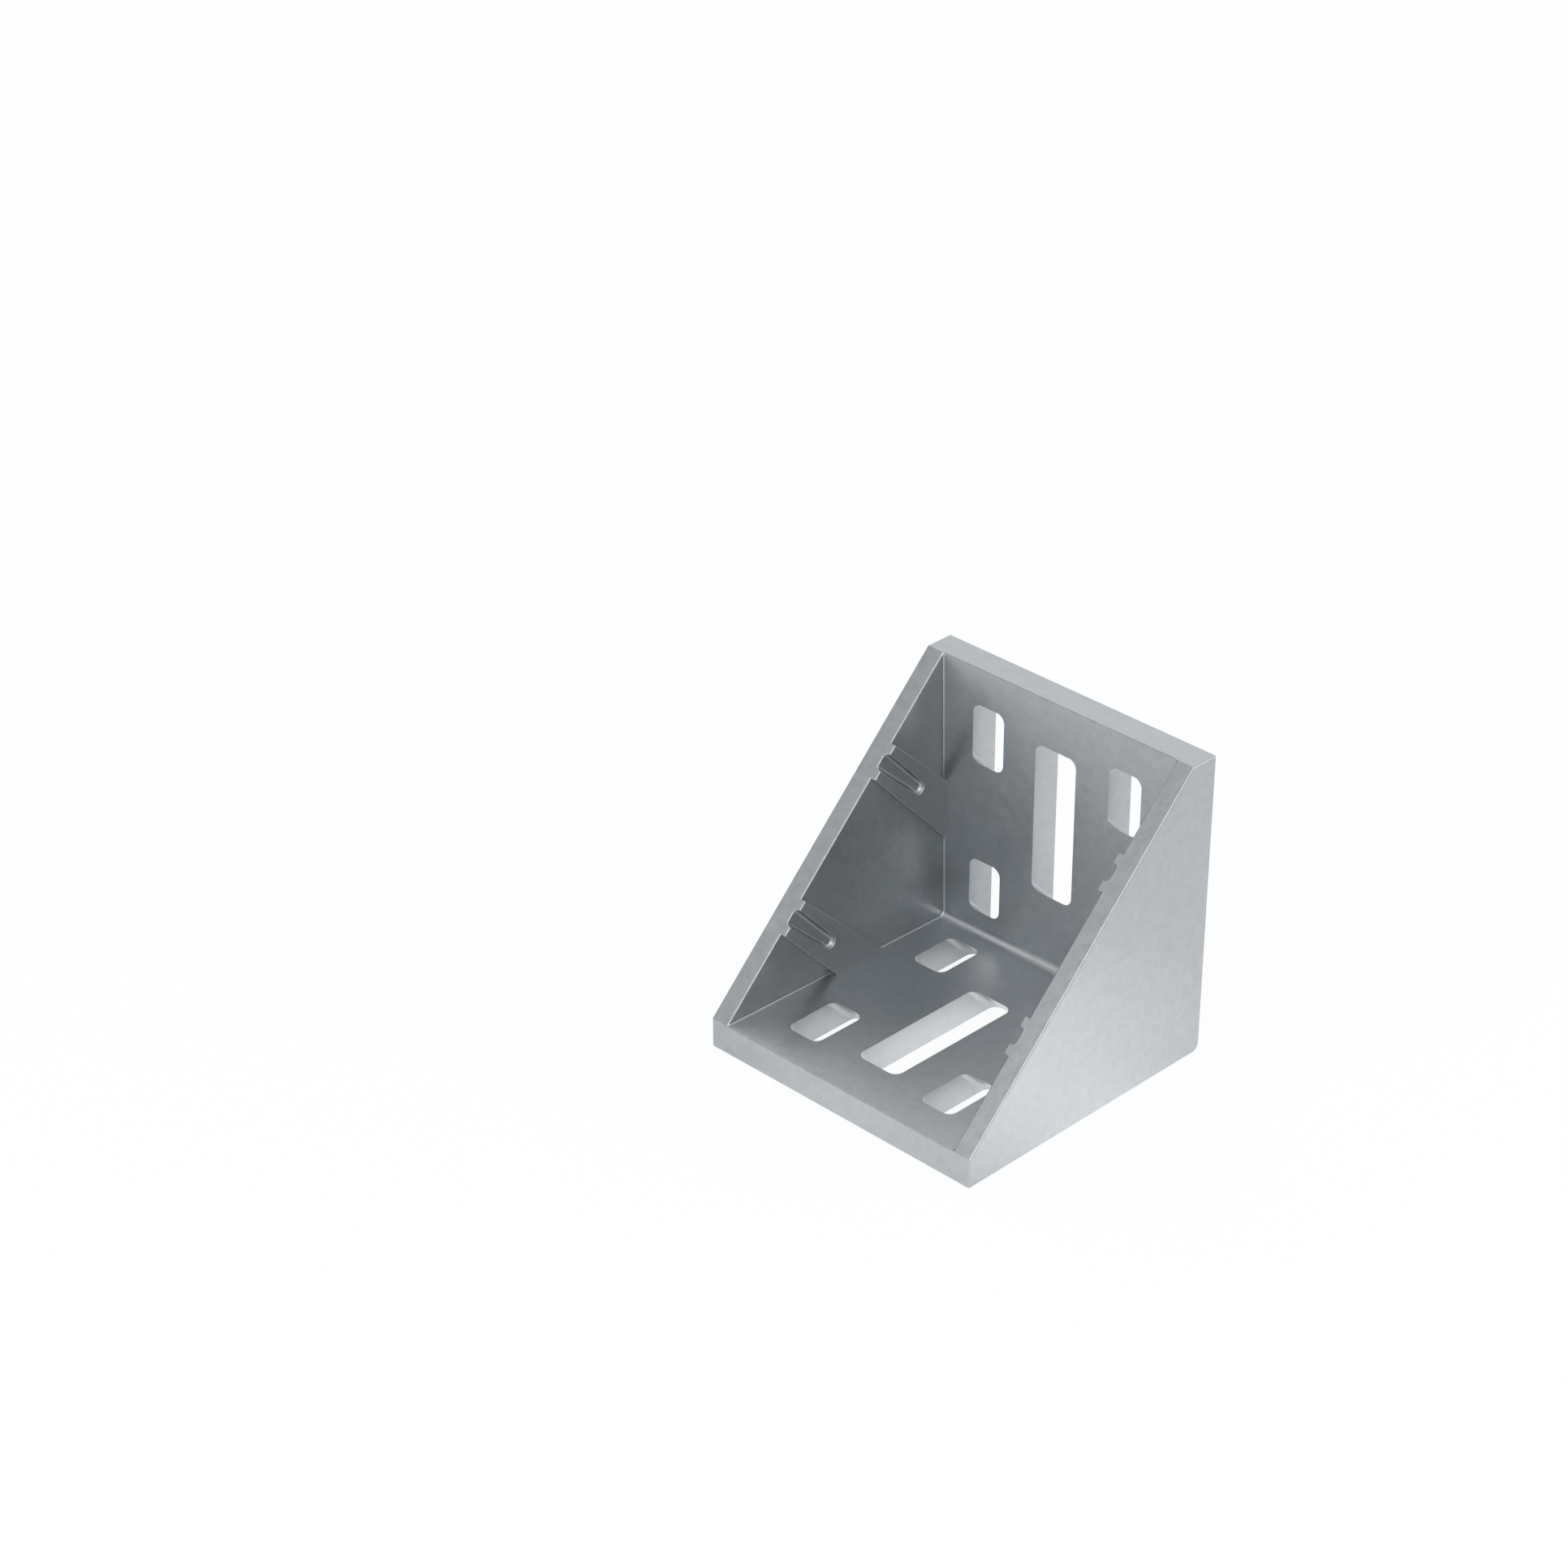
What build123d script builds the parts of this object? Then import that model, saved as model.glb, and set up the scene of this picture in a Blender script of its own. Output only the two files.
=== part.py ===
from build123d import *
import os
from math import radians, sqrt, tan

# T slot corner bracket: one aluminium casting with two slotted legs at a right angle
# and a triangular cheek on each side.
# X runs across the width. The base leg lies along Y with its free edge at -Y, and the
# wall leg stands at +Y. Z = 0 is the mounting face under the base, and the origin is the
# middle of the underside's outline. Millimetres.

# Legs
width = 77.6                # over the two cheeks, at the sloping edge
leg = 75.0                  # length of each leg from the outer heel
leg_thick = 7.3             # from a leg's mounting face to its inner face
heel_radius = 2.0           # outer edge where the two mounting faces would meet
inner_radius = 2.1          # casting radius between the two inner leg faces

# Cheeks
cheek = 4.75                # cheek thickness at the sloping edge
cheek_draft = 0.5           # degrees each outer cheek face leans in, behind the slope
core_draft = 2.2            # degrees each inner cheek face leans in, for the core to leave
band_spacing = 39.9         # between the two raised bands, along the sloping edge
band_width = 9.0            # width of a band at the sloping edge
band_height = 1.4           # how far a band stands off the cheek
band_draft = 1.8            # degrees each flank of a band leans
clip_width = 4.2            # clip groove in the band, at its mouth
clip_depth = 16.5           # from the sloping edge to the groove's blind end
clip_draft = 2.2            # degrees each side of the groove closes in
clip_radius = 1.4           # corners of the blind end, all but a half round
clip_floor = 1.1            # casting radius round the groove's floor

# Slots, measured on a leg's inner face, their spans from the outer heel
column_spacing = 40.0       # between the two outer rows of slots
short_width = 9.2           # clearance for an 8 mm screw
long_width = 11.8           # wider slot on the centre line
slot_corner = 2.2           # corner radius of every slot
slot_draft = 1.5            # degrees each side of a slot closes in, towards the mounting face
slot_run_out = 45.0         # degrees a slot's end next to the heel leans towards the heel
near_slot = (12.9, 26.3)    # short slots next to the heel
far_slot = (51.1, 66.0)     # short slots next to the free edge
long_slot = (25.75, 63.1)   # centre slot

# Edge breaks
core_radius = 0.45          # where the panels of the cheeks meet the legs
band_break = 0.25           # raised edges of the bands
mouth_break = 0.22          # flat break round the mouth, also round the ends of the bands
cheek_break = 0.35          # outline of both cheeks
tip_break = 0.3             # far edge of each mounting face

half = width / 2
back = leg / 2
front = -back
slope = sqrt(2) * (leg - leg_thick)   # length of the sloping edge
reach = leg                           # takes a cutter clear of the casting
past = 2.0                            # how far a slot's cutter passes both faces of the leg
close = 0.001                         # two positions nearer than this are the same

# Frames on the sloping edge, both starting at the free edge of the base. In the first X
# is the width, in the second X climbs the slope. In both Y goes square into the casting.
slope_foot = (0, front, leg_thick)
across = Plane(origin=slope_foot, x_dir=(1, 0, 0), z_dir=(0, 1, 1))
along = Plane(origin=slope_foot, x_dir=(0, 1, 1), z_dir=(-1, 0, 0))


def depth(point):
    """Distance of a point behind the sloping edge."""
    return along.to_local_coords(point).Y


def wedge(middle, half_width, draft, end):
    """Symmetrical strip that starts outside the slope and changes width with depth."""
    grow = tan(radians(draft))
    start = half_width - grow * reach
    stop = half_width + grow * end
    return make_face(Polyline(
        (middle - start, -reach),
        (middle + start, -reach),
        (middle + stop, end),
        (middle - stop, end),
        close=True,
    ))


def between(half_width, draft):
    """All that lies within this half width at the slope, closing in with depth."""
    section = wedge(0, half_width, -draft, reach)
    return extrude(across * section, slope + reach, both=True)


def core(offset):
    """Space between the cheeks, its sides moved in by the offset."""
    return between(half - cheek - offset, core_draft)


def clip(middle):
    """Outline of a clip groove, closing in from the slope to its blind end."""
    groove = wedge(middle, clip_width / 2, -clip_draft, clip_depth)
    return fillet(groove.vertices().sort_by(Axis.Y)[-2:], clip_radius)


def slot(x, span, slot_width):
    """Cutter for a slot at x. Y is the distance from the outer heel, Z from the mounting face."""
    near, far = span
    sections = []
    for height in (-past, leg_thick + past):
        down = leg_thick - height
        start = near - down * tan(radians(slot_run_out))
        wide = slot_width - 2 * down * tan(radians(slot_draft))
        section = RectangleRounded(wide, far - start, slot_corner)
        sections.append(Pos(x, (start + far) / 2, height) * section)
    return loft(sections, ruled=True)


def rims(solid, height):
    """Edges of a cutter at this height above the panels, but for those at its two ends."""
    found = []
    for edge in solid.edges():
        spots = [along.to_local_coords(edge @ place) for place in (0, 0.5, 1)]
        above = [half - cheek - spot.Y * tan(radians(core_draft)) - abs(spot.Z) for spot in spots]
        if abs(spots[1].Y) < reach - close and all(abs(rise - height) < close for rise in above):
            found.append(edge)
    return found


def runs_along(edge, y, z):
    """True for an edge across the width at this Y and Z."""
    return all(abs(end.Y - y) < close and abs(end.Z - z) < close for end in (edge @ 0, edge @ 1))


# Outer form: two legs and all between them, cut off along the 45 degree slope.
outline = make_face(Polyline(
    (front, 0),
    (back, 0),
    (back, leg),
    (back - leg_thick, leg),
    (front, leg_thick),
    close=True,
))
bracket = extrude(Plane.YZ * outline, half, both=True) & between(half, cheek_draft)

# Core between the cheeks: the inner leg faces below and behind, open along the slope.
inner_y = back - leg_thick
pocket = make_face(Polyline(
    (front - reach, leg_thick),
    (inner_y, leg_thick),
    (inner_y, leg + reach),
    (front - reach, leg + reach),
    close=True,
))
cavity = extrude(Plane.YZ * pocket, half, both=True) & core(0)

# Casting radii of the core: the big one between the legs, then along both panels.
corner = [edge for edge in cavity.edges() if runs_along(edge, inner_y, leg_thick)]
cavity = fillet(corner, inner_radius)
seams = [edge for edge in cavity.edges() if max(depth(edge @ 0), depth(edge @ 1)) > close]
cavity = fillet(seams, core_radius)

# Two raised bands on each cheek, each with a clip groove open at the slope.
strips = Sketch()
grooves = Sketch()
for side in (-1, 1):
    middle = slope / 2 + side * band_spacing / 2
    strips += wedge(middle, band_width / 2, band_draft, reach)
    grooves += clip(middle)
clips = extrude(along * grooves, half, both=True) & core(0)
clips = fillet(rims(clips, 0), clip_floor)
bands = extrude(along * strips, half, both=True) - core(band_height) - clips
bands = fillet(rims(bands, band_height), band_break)
cavity -= bands
bracket -= cavity

# Outer edge breaks: heel, outline of both cheeks, then the far edge of each mounting face.
heel = [edge for edge in bracket.edges() if runs_along(edge, back, 0)]
bracket = fillet(heel, heel_radius)
sides = bracket.faces().sort_by(Axis.X)
bracket = fillet(sides[0].outer_wire().edges() + sides[-1].outer_wire().edges(), cheek_break)
tips = []
for y, z in ((front, 0), (back, leg)):
    tips += [edge for edge in bracket.edges() if runs_along(edge, y, z)]
bracket = fillet(tips, tip_break)

# Mouth: the inner line of each sloping edge, in and out round the ends of the bands.
inside = half - cheek / 2
mouth = []
for edge in bracket.edges():
    points = (edge @ 0, edge @ 0.5, edge @ 1)
    on_slope = all(abs(depth(point)) < close for point in points)
    free = runs_along(edge, front, leg_thick) or runs_along(edge, back - leg_thick, leg)
    if on_slope and not free and all(abs(point.X) < inside for point in points):
        mouth.append(edge)
bracket = chamfer(mouth, mouth_break)

# Free edge of each leg, broken at 45 degrees from one cheek's casting radius to the other's.
lips = Sketch()
for end in (0, slope):
    lips += Pos(end, 0) * Rectangle(2 * mouth_break, sqrt(2) * mouth_break)
bracket -= extrude(along * lips, half, both=True) & core(core_radius)

# Slots: the same five in each leg.
slots = [slot(0, long_slot, long_width)]
for side in (-1, 1):
    for span in (near_slot, far_slot):
        slots.append(slot(side * column_spacing / 2, span, short_width))
base_frame = Plane(origin=(0, back, 0), x_dir=(-1, 0, 0), z_dir=(0, 0, 1))
wall_frame = Plane(origin=(0, back, 0), x_dir=(1, 0, 0), z_dir=(0, -1, 0))
for frame in (base_frame, wall_frame):
    bracket -= [frame * cutter for cutter in slots]

os.makedirs("parts", exist_ok=True)
export_step(bracket, "parts/bracket.step")
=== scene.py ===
from math import cos, pi, radians, sin

import bpy
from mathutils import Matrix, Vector

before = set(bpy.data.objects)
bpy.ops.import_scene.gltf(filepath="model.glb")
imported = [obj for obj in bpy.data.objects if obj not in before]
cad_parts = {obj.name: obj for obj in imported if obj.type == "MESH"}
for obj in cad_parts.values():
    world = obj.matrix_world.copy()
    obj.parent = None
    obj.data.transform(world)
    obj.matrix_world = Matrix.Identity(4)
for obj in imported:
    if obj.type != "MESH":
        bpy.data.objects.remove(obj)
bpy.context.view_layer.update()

# The casting
# One pressure die casting in aluminium, blasted after trimming. The skin is pale and
# satin, with the faint clouds that the blasting leaves and a very fine grain.
bracket = bpy.data.objects["bracket"]
dark_metal = (0.422, 0.440, 0.455, 1)
pale_metal = (0.464, 0.482, 0.497, 1)
smoothest_metal = 0.33
roughest_metal = 0.39
clouds_per_metre = 420.0
grains_per_metre = 2600.0
grain_height = 0.00006      # metres
swells_per_metre = 300.0
swell_height = 0.0002       # metres

blasted = bpy.data.materials.new("blasted_aluminium")
blasted.use_nodes = True
tree = blasted.node_tree
tree.nodes.clear()
skin_out = tree.nodes.new("ShaderNodeOutputMaterial")
skin = tree.nodes.new("ShaderNodeBsdfPrincipled")
skin.inputs["Metallic"].default_value = 1.0
tree.links.new(skin.outputs["BSDF"], skin_out.inputs["Surface"])
place = tree.nodes.new("ShaderNodeTexCoord")

# Clouds of slightly lighter and darker metal, some two millimetres across, with finer
# flecks in them.
clouds = tree.nodes.new("ShaderNodeTexNoise")
clouds.inputs["Scale"].default_value = clouds_per_metre
clouds.inputs["Detail"].default_value = 5.0
clouds.inputs["Roughness"].default_value = 0.68
clouds.inputs["Distortion"].default_value = 0.1
tree.links.new(place.outputs["Object"], clouds.inputs["Vector"])
tint = tree.nodes.new("ShaderNodeValToRGB")
tint.color_ramp.elements[0].position = 0.36
tint.color_ramp.elements[0].color = dark_metal
tint.color_ramp.elements[1].position = 0.64
tint.color_ramp.elements[1].color = pale_metal
tree.links.new(clouds.outputs["Fac"], tint.inputs["Fac"])
tree.links.new(tint.outputs["Color"], skin.inputs["Base Color"])

# The paler a cloud is, the rougher it is.
satin = tree.nodes.new("ShaderNodeMapRange")
satin.inputs["From Min"].default_value = 0.3
satin.inputs["From Max"].default_value = 0.7
satin.inputs["To Min"].default_value = smoothest_metal
satin.inputs["To Max"].default_value = roughest_metal
tree.links.new(clouds.outputs["Fac"], satin.inputs["Value"])
tree.links.new(satin.outputs["Result"], skin.inputs["Roughness"])

# Blast grain over a cast skin that is not quite flat.
grain = tree.nodes.new("ShaderNodeTexNoise")
grain.inputs["Scale"].default_value = grains_per_metre
grain.inputs["Detail"].default_value = 2.0
tree.links.new(place.outputs["Object"], grain.inputs["Vector"])
swell = tree.nodes.new("ShaderNodeTexNoise")
swell.inputs["Scale"].default_value = swells_per_metre
swell.inputs["Detail"].default_value = 3.0
tree.links.new(place.outputs["Object"], swell.inputs["Vector"])
grain_bump = tree.nodes.new("ShaderNodeBump")
grain_bump.inputs["Strength"].default_value = 0.35
grain_bump.inputs["Distance"].default_value = grain_height
tree.links.new(grain.outputs["Fac"], grain_bump.inputs["Height"])
swell_bump = tree.nodes.new("ShaderNodeBump")
swell_bump.inputs["Strength"].default_value = 0.25
swell_bump.inputs["Distance"].default_value = swell_height
tree.links.new(swell.outputs["Fac"], swell_bump.inputs["Height"])
tree.links.new(grain_bump.outputs["Normal"], swell_bump.inputs["Normal"])
tree.links.new(swell_bump.outputs["Normal"], skin.inputs["Normal"])

bracket.data.materials.clear()
bracket.data.materials.append(blasted)

# The floor
# Plain white studio paper. It looks white to the camera and keeps the bracket's soft shadow.
# Where it lies close to the bracket it has painted pools of light, seen only in the metal's
# reflections.
floor_side = 8.0
paper_tone = (0.88, 0.88, 0.88, 1)
# Painted glow that the paper shows in the metal's reflections everywhere, beneath the painted
# pools.
painted_even_shine = 0.06       # what the paper adds in the metal, away from the pools
camera_share = 0.93     # share of its own white in what the camera sees
bpy.ops.object.select_all(action="DESELECT")
bpy.ops.mesh.primitive_plane_add(size=floor_side, location=(0, 0, 0))
floor = bpy.context.object
floor.name = "floor"
paper = bpy.data.materials.new("studio_paper")
paper.use_nodes = True
tree = paper.node_tree
tree.nodes.clear()
paper_out = tree.nodes.new("ShaderNodeOutputMaterial")
matt = tree.nodes.new("ShaderNodeBsdfDiffuse")
matt.inputs["Color"].default_value = paper_tone
glow = tree.nodes.new("ShaderNodeEmission")
glow.inputs["Color"].default_value = (1, 1, 1, 1)
rays = tree.nodes.new("ShaderNodeLightPath")

# Painted pools of light: white glow on the paper, seen in the metal alone: under the bracket,
# beside its right cheek and behind its wall. Each has its place and its reach in metres, and
# how bright it is.
painted_pools = [
    ((0, 0), 0.066, 0.85),
    ((0.075, 0.0), 0.08, 0.62),
    ((0.02, 0.10), 0.095, 0.28),
]
paper_place = tree.nodes.new("ShaderNodeTexCoord")
painted_pool_light = None
for (pool_x, pool_y), reach, brightness in painted_pools:
    from_pool = tree.nodes.new("ShaderNodeVectorMath")
    from_pool.operation = "DISTANCE"
    from_pool.inputs[1].default_value = (pool_x, pool_y, 0)
    tree.links.new(paper_place.outputs["Object"], from_pool.inputs[0])
    pool = tree.nodes.new("ShaderNodeMapRange")
    pool.interpolation_type = "SMOOTHSTEP"
    pool.inputs["From Min"].default_value = 0.0
    pool.inputs["From Max"].default_value = reach
    pool.inputs["To Min"].default_value = brightness
    pool.inputs["To Max"].default_value = 0.0
    tree.links.new(from_pool.outputs["Value"], pool.inputs["Value"])
    # The first pool lies over the even shine, each later one over all before it.
    total = tree.nodes.new("ShaderNodeMath")
    total.operation = "ADD"
    total.inputs[1].default_value = painted_even_shine
    tree.links.new(pool.outputs["Result"], total.inputs[0])
    if painted_pool_light:
        tree.links.new(painted_pool_light, total.inputs[1])
    painted_pool_light = total.outputs[0]

# The metal's own rays meet these pools on top of the lit paper. No other ray meets them.
shine = tree.nodes.new("ShaderNodeMath")
shine.operation = "MULTIPLY"
tree.links.new(painted_pool_light, shine.inputs[0])
tree.links.new(rays.outputs["Is Glossy Ray"], shine.inputs[1])
# Painted reflection: the pools glow as white emission on the paper.
painted_pool_glow = tree.nodes.new("ShaderNodeEmission")
painted_pool_glow.inputs["Color"].default_value = (1, 1, 1, 1)
tree.links.new(shine.outputs[0], painted_pool_glow.inputs["Strength"])
lit = tree.nodes.new("ShaderNodeAddShader")
tree.links.new(matt.outputs["BSDF"], lit.inputs[0])
tree.links.new(painted_pool_glow.outputs["Emission"], lit.inputs[1])

# To the camera it is nearly all its own white, with a trace of the shadow left.
share = tree.nodes.new("ShaderNodeMath")
share.operation = "MULTIPLY"
share.inputs[1].default_value = camera_share
tree.links.new(rays.outputs["Is Camera Ray"], share.inputs[0])
blend = tree.nodes.new("ShaderNodeMixShader")
tree.links.new(share.outputs[0], blend.inputs["Fac"])
tree.links.new(lit.outputs["Shader"], blend.inputs[1])
tree.links.new(glow.outputs["Emission"], blend.inputs[2])
tree.links.new(blend.outputs["Shader"], paper_out.inputs["Surface"])
floor.data.materials.append(paper)

# The room
# A pale grey studio, white to the camera. Seven soft boxes stand round the camera, low and
# high, most of them to its left. Two larger ones stand to its right and one faces it.
room_tint = (0.97, 0.985, 1.0, 1)
room_level = 0.60
room = bpy.data.worlds.new("studio")
bpy.context.scene.world = room
room.use_nodes = True
tree = room.node_tree
tree.nodes.clear()
room_out = tree.nodes.new("ShaderNodeOutputWorld")
sky = tree.nodes.new("ShaderNodeBackground")
sky.inputs["Color"].default_value = room_tint
sky.inputs["Strength"].default_value = room_level
white = tree.nodes.new("ShaderNodeBackground")
white.inputs["Color"].default_value = (1, 1, 1, 1)
white.inputs["Strength"].default_value = 1.0
rays = tree.nodes.new("ShaderNodeLightPath")
choose = tree.nodes.new("ShaderNodeMixShader")
tree.links.new(rays.outputs["Is Camera Ray"], choose.inputs["Fac"])
tree.links.new(sky.outputs["Background"], choose.inputs[1])
tree.links.new(white.outputs["Background"], choose.inputs[2])
tree.links.new(choose.outputs["Shader"], room_out.inputs["Surface"])

# Azimuth and elevation in degrees, the side of the square box in metres, and how bright it
# is. Every box turns to the middle of the bracket.
soft_boxes = [
    (255, 10, 0.5, 1.6),
    (255, 35, 0.5, 1.8),
    (285, 35, 0.5, 1.45),
    (285, 60, 0.5, 0.6),
    (315, 35, 0.5, 2.5),
    (315, 60, 0.5, 1.2),
    (345, 60, 0.5, 0.8),
    (45, 15, 0.8, 1.05),
    (45, 45, 0.8, 0.95),
    (135, 45, 0.8, 0.8),
]
box_distance = 1.2
middle = Vector((0, 0, 0.035))
for azimuth, elevation, side, level in soft_boxes:
    box_light = bpy.data.lights.new("soft_box", "AREA")
    box_light.shape = "SQUARE"
    box_light.size = side
    box_light.energy = level * pi * side ** 2
    soft_box = bpy.data.objects.new("soft_box", box_light)
    bpy.context.collection.objects.link(soft_box)
    turn = radians(azimuth)
    rise = radians(elevation)
    towards = Vector((cos(rise) * cos(turn), cos(rise) * sin(turn), sin(rise)))
    soft_box.location = middle + towards * box_distance
    soft_box.rotation_euler = towards.to_track_quat("Z", "Y").to_euler()

# The camera
# A long lens, 45 degrees round to the right and 30 degrees up, level. The bracket stands
# low and to the right in its square frame.
eye = bpy.data.cameras.new("eye")
eye.sensor_fit = "HORIZONTAL"
eye.sensor_width = 36.0
eye.lens = 99.85
eye.clip_start = 0.01
eye.clip_end = 50.0
camera = bpy.data.objects.new("camera", eye)
bpy.context.collection.objects.link(camera)
camera.location = (0.54233, -0.59621, 0.53228)
camera.rotation_euler = (radians(60), 0, radians(45))
bpy.context.scene.camera = camera
bpy.context.scene.view_settings.view_transform = "Standard"
